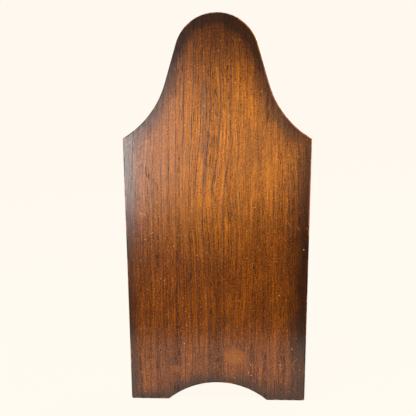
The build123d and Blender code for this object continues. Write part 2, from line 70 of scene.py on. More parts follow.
# ---- Board outline, in millimetres, the same as the solids' ---------------------------------------------------
BOARD_HEIGHT = 400.0
BASE_HALF_WIDTH = 90.0
SHOULDER = (97.0, 272.0)
CROWN_RADIUS = 43.5
CROWN_Z = BOARD_HEIGHT - CROWN_RADIUS
FLANK_ANGLE = radians(16)
FLANK_LENGTH = 42.0
BACK_ARCH = (51.0, 18.0)  # half-width and rise
FRONT_ARCH = (60.0, 24.0)
FRONT_INSET = 5.0
TAPER = atan((SHOULDER[0] - BASE_HALF_WIDTH) / SHOULDER[1])
BAG_INSET = 12.0
BAG_CROWN_Z = 230.0

FLANK_NORMAL = (cos(FLANK_ANGLE), sin(FLANK_ANGLE))
FLANK_TOP = (CROWN_RADIUS * FLANK_NORMAL[0], CROWN_Z + CROWN_RADIUS * FLANK_NORMAL[1])
FLANK_FOOT = (
    FLANK_TOP[0] + FLANK_LENGTH * sin(FLANK_ANGLE),
    FLANK_TOP[1] - FLANK_LENGTH * cos(FLANK_ANGLE),
)
_to_shoulder = (SHOULDER[0] - FLANK_FOOT[0], SHOULDER[1] - FLANK_FOOT[1])
COVE_RADIUS = hypot(*_to_shoulder) ** 2 / (
    2 * (_to_shoulder[0] * FLANK_NORMAL[0] + _to_shoulder[1] * FLANK_NORMAL[1])
)
COVE = (
    FLANK_FOOT[0] + COVE_RADIUS * FLANK_NORMAL[0],
    FLANK_FOOT[1] + COVE_RADIUS * FLANK_NORMAL[1],
)


def side_x(z, inset=0.0):
    """Half-width of the straight sides at a height, on the outline or on a line set in from it."""
    return BASE_HALF_WIDTH + z * tan(TAPER) - inset / cos(TAPER)


# ---- Shader maths as expressions ------------------------------------------------------------------------------
class Value:
    """A number, vector, colour or geometry that a node gives out. Operators add Math nodes."""

    def __init__(self, owner, socket):
        self.owner = owner
        self.socket = socket

    def math(self, operation, *others, clamp=False):
        inputs = dict(enumerate((self, *others)))
        return self.owner.node("ShaderNodeMath", {"operation": operation, "use_clamp": clamp}, inputs)

    def __add__(self, other):
        return self.math("ADD", other)

    def __sub__(self, other):
        return self.math("SUBTRACT", other)

    def __mul__(self, other):
        return self.math("MULTIPLY", other)

    def __truediv__(self, other):
        return self.math("DIVIDE", other)

    def __rsub__(self, other):
        return self.math("MULTIPLY_ADD", -1.0, other)

    def __abs__(self):
        return self.math("ABSOLUTE")

    def __gt__(self, other):
        return self.math("GREATER_THAN", other)

    def __lt__(self, other):
        return self.math("LESS_THAN", other)

    __radd__ = __add__
    __rmul__ = __mul__

    def min(self, other):
        return self.math("MINIMUM", other)

    def max(self, other):
        return self.math("MAXIMUM", other)

    def clamped(self):
        return self.math("ADD", 0.0, clamp=True)

    def rise(self, low, high):
        """0 below low and 1 above high, smooth in between."""
        settings = {"interpolation_type": "SMOOTHSTEP"}
        return self.owner.node("ShaderNodeMapRange", settings, {"Value": self, "From Min": low, "From Max": high})

    def fall(self, low, high):
        return 1 - self.rise(low, high)

    def pick(self, when_one, when_zero):
        """when_one where this is 1, and when_zero where it is 0."""
        return self * (when_one - when_zero) + when_zero


class Tree:
    """A node tree that is built by expressions."""

    def __init__(self, tree):
        self.tree = tree
        tree.nodes.clear()

    def node(self, kind, settings=None, inputs=None, output=0):
        """A node of this kind: its settings first, then the values or links of its inputs."""
        made = self.tree.nodes.new(kind)
        for name, value in (settings or {}).items():
            if name == "stops":
                self.set_stops(made.color_ramp, value)
            else:
                setattr(made, name, value)
        for name, value in (inputs or {}).items():
            for one in value if isinstance(value, list) else [value]:
                if isinstance(one, Value):
                    self.tree.links.new(one.socket, made.inputs[name])
                else:
                    made.inputs[name].default_value = one
        return Value(self, made.outputs[output]) if made.outputs else None

    @staticmethod
    def set_stops(ramp, stops):
        while len(ramp.elements) > 1:
            ramp.elements.remove(ramp.elements[-1])
        ramp.elements[0].position, ramp.elements[0].color = stops[0]
        for position, color in stops[1:]:
            ramp.elements.new(position).color = color

    def vector(self, x=0.0, y=0.0, z=0.0):
        return self.node("ShaderNodeCombineXYZ", None, {0: x, 1: y, 2: z})

    def parts(self, vector):
        """A vector's X, Y and Z."""
        split = self.tree.nodes.new("ShaderNodeSeparateXYZ")
        self.tree.links.new(vector.socket, split.inputs[0])
        return [Value(self, socket) for socket in split.outputs]


class Shader(Tree):
    """One material."""

    def __init__(self, name):
        self.material = bpy.data.materials.new(name)
        self.material.use_nodes = True
        super().__init__(self.material.node_tree)

    # places
    def place(self):
        """Object coordinates in millimetres."""
        raw = self.node("ShaderNodeTexCoord", output="Object")
        return self.scaled(raw, (1000, 1000, 1000))

    def scaled(self, vector, factors):
        return self.node("ShaderNodeVectorMath", {"operation": "MULTIPLY"}, {0: vector, 1: factors})

    def moved(self, vector, by):
        return self.node("ShaderNodeVectorMath", {"operation": "ADD"}, {0: vector, 1: by})

    def attribute(self, name):
        return self.node("ShaderNodeAttribute", {"attribute_name": name}, output="Fac")

    # patterns
    def noise(self, vector, size, detail=3.0, rough=0.55, warp=0.0):
        """Noise from 0 to 1 whose features are about size across, in millimetres along X, Y and Z."""
        stretched = self.scaled(vector, tuple(1 / s for s in size))
        inputs = {"Vector": stretched, "Scale": 1.0, "Detail": detail, "Roughness": rough, "Distortion": warp}
        return self.node("ShaderNodeTexNoise", None, inputs)

    def cells(self, vector, size, feature="DISTANCE_TO_EDGE"):
        """Cells about size across: the distance to their edges, or with F1 to their middles."""
        stretched = self.scaled(vector, tuple(1 / s for s in size))
        return self.node("ShaderNodeTexVoronoi", {"feature": feature}, {"Vector": stretched, "Scale": 1.0}, "Distance")

    # colours
    def mix(self, share, low, high, blend="MIX"):
        """Colour low where share is 0 and high where it is 1."""
        factor, colour_a, colour_b, colour_out = 0, 6, 7, 2  # the node's sockets for colours
        settings = {"data_type": "RGBA", "blend_type": blend, "clamp_factor": True}
        return self.node("ShaderNodeMix", settings, {factor: share, colour_a: low, colour_b: high}, colour_out)

    def ramp(self, share, stops):
        return self.node("ShaderNodeValToRGB", {"stops": stops}, {"Fac": share}, output="Color")

    # endings
    def bump(self, height, distance, strength):
        inputs = {"Height": height, "Distance": distance * MM, "Strength": strength}
        return self.node("ShaderNodeBump", None, inputs, "Normal")

    def finish(self, **inputs):
        """Ends the material in one Principled surface. An input's name has _ for each space."""
        named = {name.replace("_", " "): value for name, value in inputs.items()}
        return self.end(self.node("ShaderNodeBsdfPrincipled", None, named))

    def end(self, surface):
        self.node("ShaderNodeOutputMaterial", None, {"Surface": surface})
        return self.material


def tint(r, g, b):
    """Linear colour from 0-255 display values."""
    def linear(c):
        c /= 255
        return c / 12.92 if c <= 0.04045 else ((c + 0.055) / 1.055) ** 2.4
    return linear(r), linear(g), linear(b), 1.0


# ---- Oak ------------------------------------------------------------------------------------------------------
OAK_DEEP, OAK_DARK, OAK_MIDDLE = tint(44, 17, 1), tint(82, 37, 2), tint(107, 52, 2)
OAK_LIGHT, OAK_PALE = tint(131, 68, 4), tint(168, 98, 12)
EARLY_WOOD, SHADED_WOOD, CLOUDED_WOOD = tint(62, 28, 5), tint(58, 26, 4), tint(64, 30, 4)
STREAK_BROWN, RING_BROWN = tint(72, 48, 38), tint(42, 32, 32)
SMOKE_BROWN, PORE_BROWN = tint(28, 12, 3), tint(22, 10, 4)
PALE_GRIT, DARK_GRIT = tint(164, 100, 26), tint(30, 12, 3)
RUBBED_EDGE, GRIMY_EDGE, KNOCKED_WOOD = tint(166, 102, 60), tint(18, 9, 5), tint(190, 150, 108)
OLD_PATCH, PALE_SCRATCH, DARK_SCRATCH = tint(136, 76, 14), tint(168, 112, 70), tint(24, 12, 6)
PAINTED_LIGHT_GAIN = (2.35, 2.98, 1.9, 1.0)  # painted light: how many times brighter the upper middle of the face is made
RING_SPACING = 8.6


def edge_distance(x, z, inset, arch):
    """How far inside the board's outline a point is, in millimetres. x is measured from the middle."""
    def vector_length(dx, dz):
        return (dx * dx + dz * dz).math("SQRT")

    side = (x * -1 + z * tan(TAPER) + BASE_HALF_WIDTH) * cos(TAPER)
    crown = CROWN_RADIUS - vector_length(x, z - CROWN_Z)
    flank = (x - FLANK_TOP[0]) * -FLANK_NORMAL[0] + (z - FLANK_TOP[1]) * -FLANK_NORMAL[1]
    along = (x - FLANK_TOP[0]) * sin(FLANK_ANGLE) + (z - FLANK_TOP[1]) * -cos(FLANK_ANGLE)
    cove = vector_length(x - COVE[0], z - COVE[1]) - COVE_RADIUS
    neck = (along > FLANK_LENGTH).pick(cove, flank)
    top = (along < 0.0).pick(crown, neck)
    inside = side.min(top) - inset
    if arch:
        half_width, rise = arch
        radius = (half_width**2 + rise**2) / (2 * rise)
        under = vector_length(x, z - (rise - radius)) - radius
        inside = inside.min(under).min(z)
    return inside


def scratch(x, z, start, end, half_width):
    """1 on a thin line from start to end in the face, with faded ends."""
    dx, dz = end[0] - start[0], end[1] - start[1]
    length = hypot(dx, dz)
    ux, uz = dx / length, dz / length
    along = (x - start[0]) * ux + (z - start[1]) * uz
    across = abs((x - start[0]) * uz - (z - start[1]) * ux)
    line = across.fall(half_width * 0.5, half_width)
    ends = along.rise(0, length * 0.2) * along.fall(length * 0.8, length)
    return line * ends


class Oak(Shader):
    """Stained oak with its grain along Z, varnished, rubbed pale and brightened with painted light in the middle, and
    smoke-dark at its edges.
    """

    def __init__(self, name, board, inset, arch, seed):
        super().__init__(name)
        place = self.place()
        self.x, self.y, self.z = self.parts(place)
        self.drift = self.moved(place, (seed * 37.0, seed * 11.0, seed * 131.0))
        low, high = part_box(board)
        self.middle_y = (low.y + high.y) / 2 / MM
        self.depth_in_board = (high.y - low.y) / 2 / MM - abs(self.y - self.middle_y)
        self.edge = edge_distance(abs(self.x), self.z, inset, arch)

    def stain(self, share, colour):
        """Lays a colour over what is there, fully where share is 1."""
        self.colour = self.mix(share, self.colour, colour)

    def lay_grain(self):
        """What runs along the board follows a slow sway. Clouds and grit don't."""
        sway = self.noise(self.drift, (70, 40, 210), detail=2)
        self.wave = self.noise(self.drift, (8, 8, 26), detail=3)
        gx, gy, gz = self.parts(self.drift)
        self.bent_x = gx + sway * 20 + self.wave * 2.0
        bent = self.vector(self.bent_x, gy, gz)
        rings = self.noise(bent, (5.0, 8, 380), detail=2, rough=0.6)
        self.streaks = self.noise(bent, (0.80, 3, 44), detail=3, rough=0.66)
        self.fibre = self.noise(bent, (0.85, 1, 9), detail=3, rough=0.65)
        pores = self.noise(bent, (0.62, 0.8, 6.5), detail=1, rough=0.4)
        self.shade = self.noise(self.drift, (26, 26, 60), detail=4, rough=0.62)
        self.cloud = self.noise(self.drift, (13, 13, 18), detail=5, rough=0.7)
        self.grit = self.noise(self.drift, (1.45, 1.45, 1.7), detail=2, rough=0.7)
        early = rings.rise(0.46, 0.58)
        self.pore = pores.rise(0.57, 0.65) * (early * 0.8 + 0.2)

        figure = self.streaks * 0.44 + self.fibre * 0.26 + self.grit * 0.30
        self.colour = self.ramp(figure, [
            (0.35, OAK_DEEP), (0.44, OAK_DARK), (0.51, OAK_MIDDLE), (0.58, OAK_LIGHT), (0.68, OAK_PALE),
        ])
        self.stain(early * 0.20, EARLY_WOOD)
        self.stain(self.shade.fall(0.34, 0.58) * 0.40, SHADED_WOOD)
        self.stain(self.cloud.rise(0.50, 0.70) * 0.44, CLOUDED_WOOD)

    def rub_pale_and_paint_light(self):
        """Worn where hands and cloths have rubbed, and brightened there with painted light over the upper middle of
        the face.
        """
        x, z = self.x, self.z
        from_foot = (z + x.max(0.0) * -0.38 - abs(x + 8) * 0.1).rise(125, 222)
        from_edge = self.edge.rise(1, 30) * 0.46 + 0.12 + x.rise(-75, -22) * 0.42
        # this worn mask also sets where the painted light brightens the face
        self.worn = from_foot * z.fall(290, 388) * from_edge
        self.stain(self.worn * (x.fall(-60, 0) * 0.34 + 0.14), OAK_MIDDLE)
        # painted light: the worn area is multiplied brighter, standing in for stronger light on the upper middle of
        # the face
        bright = self.mix(1.0, self.colour, PAINTED_LIGHT_GAIN, "MULTIPLY")
        self.stain(self.worn * (self.cloud * 0.45 + 0.70), bright)

    def open_rings(self):
        """One wide dark streak, and dark broken lines that are strongest to one side."""
        x, z = self.x, self.z
        streak = abs(x + self.wave * 10 + 7.5).fall(1.5, 4.5) * z.rise(205, 240) * z.fall(325, 345)
        self.stain(streak * 0.42, STREAK_BROWN)
        spacing = self.bent_x / RING_SPACING + self.noise(self.drift, (60, 60, 300), detail=1) * 2.5
        broken = (self.wave * 0.7 + self.fibre * 1.3).rise(0.82, 1.02)
        line = abs(spacing.math("FRACT") - 0.5).rise(0.40, 0.48) * broken
        side_of_board = x.fall(-14, 40) * 0.75 + 0.25 - x.fall(-72, -44) * 0.60
        self.stain(line * self.shade.rise(0.30, 0.52) * side_of_board * 0.92, RING_BROWN)

    def smoke_dark(self):
        """Dark where polish and smoke have gathered: at the edges, crown and feet, and low on one side."""
        x, z = self.x, self.z
        reach = self.edge / (self.cloud * 14 + x.rise(0, 80) * 8 + 3.0)
        at_edge = reach.fall(0.0, 1.7) * (0.85 - self.depth_in_board.rise(0.5, 2.5) * 0.25)
        low_side = x.rise(68, 92) * z.fall(125, 205) * z.rise(30, 70)
        smoke = (at_edge + z.rise(322, 397) * 0.62 + z.fall(6, 40) * 0.14 + low_side * 0.30).clamped()
        self.stain(smoke * 0.90, SMOKE_BROWN)
        self.stain(self.pore * (0.66 - self.worn * x.fall(-60, 0) * 0.24), PORE_BROWN)
        self.stain(self.grit.rise(0.58, 0.70) * (0.42 - smoke * 0.34), PALE_GRIT)
        self.stain(self.grit.fall(0.32, 0.44) * 0.58, DARK_GRIT)

    def knock_about(self):
        """Rubbed and grimy corners, small knocks, and how deep and rough it all is."""
        rub = self.noise(self.drift, (7, 7, 16), detail=4, rough=0.7)
        rubbed_side = self.x.rise(10, 50) * self.z.rise(185, 265) * 0.42
        self.corner = self.edge.fall(0.45, 1.4) * self.depth_in_board.fall(0.5, 1.5)
        self.stain(self.corner * (rub + rubbed_side).rise(0.50, 0.62) * 0.85, RUBBED_EDGE)
        self.stain(self.corner * rub.fall(0.40, 0.52) * 0.6, GRIMY_EDGE)
        knock = self.cells(self.drift, (6.5, 6.5, 8.5), "F1").fall(0.05, 0.11) * rub.rise(0.47, 0.60)
        self.stain(knock * 0.7, KNOCKED_WOOD)
        self.height = self.fibre * 0.3 + self.streaks * 0.3 + self.grit * 0.35 - self.pore * 0.9 - knock * 0.6
        self.rough = self.fibre * 0.08 + self.pore * 0.25 + self.cloud * 0.10 + 0.30

    def mark(self, scratches, patches):
        """Worn patches and scratches on the outer face."""
        outer_face = self.y.fall(self.middle_y - 1, self.middle_y + 1)
        for middle, half_width, half_height, strength in patches:
            across, up = (self.x - middle[0]) / half_width, (self.z - middle[1]) / half_height
            spot = (across * across + up * up + self.wave * 0.8).fall(0.7, 1.6)
            self.stain(spot * outer_face * strength, OLD_PATCH)
        for start, end, half_width, strength, pale in scratches:
            line = scratch(self.x, self.z, start, end, half_width) * outer_face
            self.stain(line * strength, PALE_SCRATCH if pale else DARK_SCRATCH)
            self.height = self.height - line * 0.8
            self.rough = self.rough + line * 0.1

    def varnish(self):
        """A coat that is thin over pores and rubbed corners, and dull on the left side faces."""
        figure = (self.streaks + self.fibre * 1.4 + self.grit * 0.6) * 0.65
        gloss = figure - 0.40 - self.pore * 0.35 + self.x.fall(-97, -80) * 0.35
        gloss = (gloss - self.corner * self.x.rise(-60, -20) * 0.45).clamped()
        dull_side = self.edge.fall(0.2, 0.8) * self.depth_in_board.rise(0.3, 1.0) * self.x.fall(-10, 10)
        return self.finish(
            Base_Color=self.colour, Roughness=self.rough, Normal=self.bump(self.height, 0.14, 0.5),
            Specular_IOR_Level=0.03, Coat_Weight=gloss * (1 - dull_side * 0.9), Coat_Roughness=0.165,
            Coat_IOR=1.45,
        )


def oak(name, board, inset, arch, seed, scratches=(), patches=()):
    wood = Oak(name, board, inset, arch, seed)
    wood.lay_grain()
    wood.rub_pale_and_paint_light()
    wood.open_rings()
    wood.smoke_dark()
    wood.knock_about()
    wood.mark(scratches, patches)
    return wood.varnish()


def plain_wood(name, seed, dark, middle, pale, grain_along="Z", rough=0.5):
    """Fine even-grained wood, such as beech, with its grain along one axis."""
    s = Shader(name)
    place = s.moved(s.place(), (seed * 19.0, seed * 7.0, seed * 53.0))
    ring_size = {"X": (90, 2.2, 2.2), "Z": (2.2, 2.2, 90)}[grain_along]
    fleck_size = {"X": (9, 0.4, 0.4), "Z": (0.4, 0.4, 9)}[grain_along]
    rings = s.noise(place, ring_size, detail=3, warp=0.3)
    fleck = s.noise(place, fleck_size, detail=2)
    cloud = s.noise(place, (22, 22, 22), detail=4)
    colour = s.ramp(rings, [(0.32, dark), (0.5, middle), (0.68, pale)])
    colour = s.mix(fleck.rise(0.56, 0.70) * 0.4, colour, dark)
    colour = s.mix(cloud.rise(0.45, 0.8) * 0.45, colour, dark)
    normal = s.bump(fleck * -0.6 + rings * 0.4, 0.10, 0.5)
    return s.finish(Base_Color=colour, Roughness=cloud * 0.15 + rough, Normal=normal)


# ---- Leather --------------------------------------------------------------------------------------------------
def leather(name, seed, deep, main, worn, fold=False):
    """Pebbled, creased leather. A folded one is worn on its ridges and darkened with painted shade in its folds, by
    its attribute.
    """
    s = Shader(name)
    place = s.moved(s.place(), (seed * 29.0, seed * 13.0, seed * 41.0))
    warp = s.noise(place, (5, 5, 5), detail=3) * 1.4
    wx, wy, wz = s.parts(place)
    bent = s.vector(wx + warp, wy + warp, wz - warp)
    pebble_top = s.cells(bent, (1.25, 1.25, 1.25)).rise(0.02, 0.20)
    small_top = s.cells(bent, (0.55, 0.55, 0.55)).rise(0.0, 0.2)
    crease = s.cells(s.moved(bent, (3, 7, 1)), (11, 7, 19)).fall(0.010, 0.050)
    cloud = s.noise(place, (16, 16, 26), detail=5, rough=0.62)
    colour = s.ramp(cloud, [(0.30, deep), (0.50, main), (0.74, worn)])
    colour = s.mix((1 - pebble_top) * 0.55, colour, deep)
    colour = s.mix(crease * 0.6, colour, deep)
    height = pebble_top * 0.5 + small_top * 0.22 - crease * 0.8
    rough = 0.52 - pebble_top * 0.10 + cloud * 0.12
    if fold:
        ridge = s.attribute("ridge")
        rubbed = ridge.rise(0.72, 1.0) * (cloud * 0.6 + 0.5)
        colour = s.mix(rubbed * 0.75, colour, worn)
        # painted shade: darker deep in the folds of the bag
        colour = s.mix(ridge.fall(0.0, 0.35) * 0.7, colour, deep)
        rough = rough - rubbed * 0.10
    return s.finish(
        Base_Color=colour, Roughness=rough, Normal=s.bump(height, 0.22, 0.8), Sheen_Weight=0.08,
        Sheen_Roughness=0.5, Specular_IOR_Level=0.45,
    )


# ---- Metals ---------------------------------------------------------------------------------------------------
def metal(name, seed, bright, dull, dirt, rough, tarnish):
    """Aged metal: bright where it is handled, dull and brown in between, with fine lines along Y."""
    s = Shader(name)
    place = s.moved(s.place(), (seed * 23.0, seed * 17.0, seed * 5.0))
    cloud = s.noise(place, (9, 9, 9), detail=5, rough=0.65)
    spots = s.noise(place, (1.6, 1.6, 1.6), detail=3, rough=0.7)
    lines = s.noise(place, (0.35, 6, 0.35), detail=2)
    aged = (cloud * 0.7 + spots * 0.3).rise(0.62 - tarnish * 0.35, 0.72 - tarnish * 0.2)
    colour = s.mix(aged * 0.8, bright, dull)
    pits = spots.rise(0.62, 0.70)
    colour = s.mix(pits * 0.7, colour, dirt)
    colour = s.mix(lines.rise(0.5, 0.7) * 0.18, colour, dull)
    roughness = aged * 0.18 + lines * 0.08 + pits * 0.2 + rough
    normal = s.bump(lines * 0.3 - pits * 0.7 + cloud * 0.25, 0.06, 0.5)
    return s.finish(Base_Color=colour, Metallic=1.0 - pits * 0.5, Roughness=roughness, Normal=normal)


# ---- Materials ------------------------------------------------------------------------------------------------
BACK_SCRATCHES = (  # start and end on the face, half-width, strength, pale
    ((-94.0, 265.5), (-74.5, 286.5), 0.45, 0.55, False),
    ((-93.0, 264.8), (-73.5, 285.8), 0.30, 0.40, True),
    ((-83.5, 262.5), (-74.0, 268.8), 0.32, 0.35, True),
    ((-75.5, 268.2), (-65.0, 272.0), 0.32, 0.35, True),
    ((-82.0, 244.0), (-76.5, 249.5), 0.70, 0.45, True),
    ((-83.5, 243.5), (-79.5, 247.0), 0.60, 0.50, False),
    ((-81.5, 196.5), (-73.5, 192.5), 0.90, 0.40, True),
    ((-80.0, 198.5), (-77.0, 195.5), 0.50, 0.55, False),
    ((-69.5, 173.0), (-65.5, 175.0), 0.60, 0.45, True),
    ((70.6, 190.0), (76.0, 181.0), 0.40, 0.45, True),
    ((82.0, 182.5), (85.5, 177.0), 0.35, 0.45, True),
    ((91.0, 181.0), (95.5, 177.0), 0.35, 0.45, True),
    ((-47.5, 41.5), (-35.5, 50.0), 0.40, 0.60, False),
    ((-1.5, 29.5), (7.0, 47.0), 0.50, 0.45, False),
    ((64.0, 35.0), (74.0, 34.0), 0.55, 0.55, False),
    ((83.5, 45.0), (77.5, 38.5), 0.30, 0.35, True),
    ((77.5, 38.5), (80.0, 29.5), 0.30, 0.35, True),
    ((-33.5, 93.0), (-32.0, 92.5), 0.70, 0.60, True),
    ((-18.0, 97.5), (-16.8, 97.0), 0.60, 0.60, True),
    ((17.0, 23.5), (18.5, 23.0), 0.70, 0.60, True),
)
BACK_PATCHES = (  # middle, half-width, half-height, strength
    ((18.0, 45.5), 13.0, 9.5, 0.42),
    ((-43.5, 32.0), 5.0, 4.5, 0.30),
)
OAK_BACK = oak("stained oak, back board", "back_board", 0.0, BACK_ARCH, 1.0, BACK_SCRATCHES, BACK_PATCHES)
OAK_FRONT = oak("stained oak, front board", "front_board", FRONT_INSET, None, 5.0)
OAK_APRON = oak("stained oak, apron", "front_apron", FRONT_INSET, FRONT_ARCH, 5.4)
BLOCK_WOOD = plain_wood(
    "dark beech block", 3.0, tint(58, 30, 14), tint(92, 50, 24), tint(120, 70, 36), grain_along="X", rough=0.45
)
FRAME_WOOD = plain_wood("pale beech", 2.0, tint(132, 92, 54), tint(170, 126, 80), tint(196, 154, 106))
BAG_LEATHER = leather("bag leather", 1.0, tint(30, 16, 10), tint(74, 38, 22), tint(124, 72, 44), fold=True)
SEAL_LEATHER = leather("seal leather", 2.0, tint(34, 18, 11), tint(80, 43, 26), tint(128, 78, 50))
WELT_LEATHER = leather("welt leather", 4.0, tint(22, 12, 9), tint(50, 26, 17), tint(92, 54, 36))
NAIL_BRASS = metal(
    "nail brass", 1.0, tint(226, 184, 104), tint(150, 104, 48), tint(52, 34, 20), rough=0.22, tarnish=0.35
)
PLATE_BRASS = metal(
    "plate brass", 2.0, tint(214, 170, 92), tint(140, 98, 48), tint(48, 34, 20), rough=0.28, tarnish=0.55
)
NOZZLE_BRASS = metal(
    "nozzle brass", 3.0, tint(214, 168, 90), tint(128, 88, 44), tint(44, 30, 20), rough=0.26, tarnish=0.6
)
HINGE_BRASS = metal(
    "hinge brass", 4.0, tint(196, 152, 84), tint(118, 82, 44), tint(40, 28, 18), rough=0.30, tarnish=0.7
)
IRON = metal("dark iron", 5.0, tint(112, 106, 100), tint(58, 52, 48), tint(70, 40, 26), rough=0.42, tarnish=0.7)


def dress(material, *names):
    """Gives solids their finish."""
    for name in names:
        mesh = NODES[name].data
        mesh.materials.clear()
        mesh.materials.append(material)


HANDS = ("left", "right")
HOOP = (*HANDS, "top")

dress(OAK_BACK, "back_board")
dress(OAK_FRONT, "front_board")
dress(OAK_APRON, "front_apron")
dress(BLOCK_WOOD, "nozzle_block")
dress(FRAME_WOOD, "block_dowels", "valve_flap", *(f"rib_{part}" for part in HOOP))
dress(FRAME_WOOD, *(f"{board}_bearer_{part}" for board in ("back", "front") for part in HOOP))
dress(WELT_LEATHER, *(f"block_welt_{hand}" for hand in HANDS))
dress(SEAL_LEATHER, "valve_facing", "valve_tab", "valve_strap")
dress(NAIL_BRASS, "grille_pins")
dress(PLATE_BRASS, "valve_grille", "nozzle_flange", "flange_screws")
dress(NOZZLE_BRASS, "nozzle_tube", "nozzle_tip_ring")
dress(HINGE_BRASS, *(f"{hand}_hinge_{leaf}_leaf" for hand in HANDS for leaf in ("lower", "upper")))
dress(IRON, *(f"{hand}_hinge_pin" for hand in HANDS), "hinge_lower_screws", "hinge_upper_screws")
dress(IRON, "apron_screws", "valve_tacks")


# ---- Meshes made here -----------------------------------------------------------------------------------------
def add_object(name, mesh, material=None):
    made = bpy.data.objects.new(name, mesh)
    bpy.context.scene.collection.objects.link(made)
    if material:
        mesh.materials.append(material)
    return made


def applied(made):
    """Turns an object's live modifiers into its plain mesh."""
    graph = bpy.context.evaluated_depsgraph_get()
    mesh = bpy.data.meshes.new_from_object(made.evaluated_get(graph))
    made.modifiers.clear()
    made.data = mesh
    return made


def add_sheet(name, mesh, material, thickness):
    """An object whose mesh gets this thickness in millimetres, half to each side."""
    sheet = add_object(name, mesh, material)
    wall = sheet.modifiers.new("thickness", "SOLIDIFY")
    wall.thickness = thickness * MM
    wall.offset = 0.0
    return applied(sheet)


def chaikin(points, rounds):
    """Rounds the corners of polylines that run along the second last axis, keeping their ends."""
    for _ in range(rounds):
        near, far = points[..., :-1, :], points[..., 1:, :]
        cut = np.stack([near * 0.75 + far * 0.25, near * 0.25 + far * 0.75], axis=-2)
        cut = cut.reshape(*points.shape[:-2], -1, points.shape[-1])
        points = np.concatenate([points[..., :1, :], cut, points[..., -1:, :]], axis=-2)
    return points


def grid_mesh(name, points, ring=False):
    """A sheet through points[i, j], or a closed bar whose cross-sections are the rings points[i]."""
    rows, columns = points.shape[:2]
    mesh = bpy.data.meshes.new(name)
    faces = []
    for i in range(rows - 1):
        for j in range(columns if ring else columns - 1):
            k = (j + 1) % columns
            faces.append((i * columns + j, i * columns + k, (i + 1) * columns + k, (i + 1) * columns + j))
    if ring:
        faces.append(tuple(range(columns))[::-1])
        faces.append(tuple(range((rows - 1) * columns, rows * columns)))
    mesh.from_pydata((points.reshape(-1, 3) * MM).tolist(), [], faces)
    shape = bmesh.new()
    shape.from_mesh(mesh)
    bmesh.ops.recalc_face_normals(shape, faces=shape.faces)
    shape.to_mesh(mesh)
    shape.free()
    mesh.polygons.foreach_set("use_smooth", [True] * len(mesh.polygons))
    return mesh


def grid_points(x, y, z):
    """Points in rows and columns, from coordinates that broadcast together."""
    return np.stack(np.broadcast_arrays(x, y, z), axis=-1)


def uneven(run, seed, size):
    """A slow waver from about -1 to 1, always the same for one seed."""
    random = np.random.default_rng(seed)
    waves = ((1.0, 1.0), (0.61, 0.7), (0.37, 0.5), (0.23, 0.35))  # length and height
    waver = sum(
        height * np.sin(run * 2 * pi / (size * length) + random.uniform(0, 2 * pi)) for length, height in waves
    )
    return waver / 1.8


# ---- Bag ------------------------------------------------------------------------------------------------------
def bearer_y(board, corner):
    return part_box(f"{board}_bearer_top")[corner].y / MM


BACK_INNER_Y, BACK_BEARER_Y = bearer_y("back", 0), bearer_y("back", 1)
FRONT_BEARER_Y, FRONT_INNER_Y = bearer_y("front", 0), bearer_y("front", 1)
MIDDLE_Y = (BACK_BEARER_Y + FRONT_BEARER_Y) / 2
BLOCK_TOP_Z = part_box("nozzle_block")[1].z / MM
BAG_TOP_Z = BAG_CROWN_Z + 84.0
GUSSET_STEP, WELT_STEP = 2.4, 1.8  # spacing of the cross-sections
GUSSET_THICKNESS, HINGE_SEAL_THICKNESS, BLOCK_LEATHER_THICKNESS, WEB_THICKNESS = 0.9, 1.0, 0.8, 0.7
FOLD_DEPTH_AT_HINGE, FOLD_DEPTH_GAIN = 2.0, 20.0
WELT_WIDTH, WELT_THICKNESS = 9.0, 2.5
FRONT_WELT_RISE, BLOCK_WELT_DROP = 3.0, 12.0  # from the block's top to each welt's lower end
NAIL_SPACING, NAIL_END_MARGIN, BLOCK_NAIL_MARGIN = 14.5, 6.0, 7.0


def bag_path(inset, bottom_z, spacing):
    """Rows of (x, z, outward angle) round the bag, from its lower right end over the top to its lower left end."""
    radius = side_x(BAG_CROWN_Z, BAG_INSET + inset) * cos(TAPER)
    side = (BAG_CROWN_Z - radius * sin(TAPER) - bottom_z) / cos(TAPER)
    total = 2 * side + radius * (pi + 2 * TAPER)
    run = np.linspace(0, total, int(np.ceil(total / spacing)) + 1)
    from_end = np.minimum(run, total - run)
    angle = np.clip((run - side) / radius - TAPER, -TAPER, pi + TAPER)
    on_side = from_end < side
    z = np.where(on_side, bottom_z + from_end * cos(TAPER), BAG_CROWN_Z + radius * np.sin(angle))
    hand = np.where(run < total / 2, 1, -1)
    x = np.where(on_side, hand * side_x(z, BAG_INSET + inset), radius * np.cos(angle))
    return np.stack([x, z, angle], axis=1)


def round_the_bag(path, sections):
    """Points of cross-sections, given as (outwards, y) at each place of the path."""
    outward = np.stack([np.cos(path[:, 2]), np.sin(path[:, 2])], axis=1)[:, None, :]
    across = path[:, None, :2] + outward * sections[..., :1]
    return np.stack([across[..., 0], sections[..., 1], across[..., 1]], axis=-1)


def cross_sections(run, outline):
    """One cross-section at each place of a run. outline's coordinates are numbers or a value for each place."""
    points = [np.stack([outwards + 0 * run, y + 0 * run], axis=1) for outwards, y in outline]
    return np.stack(points, axis=1)


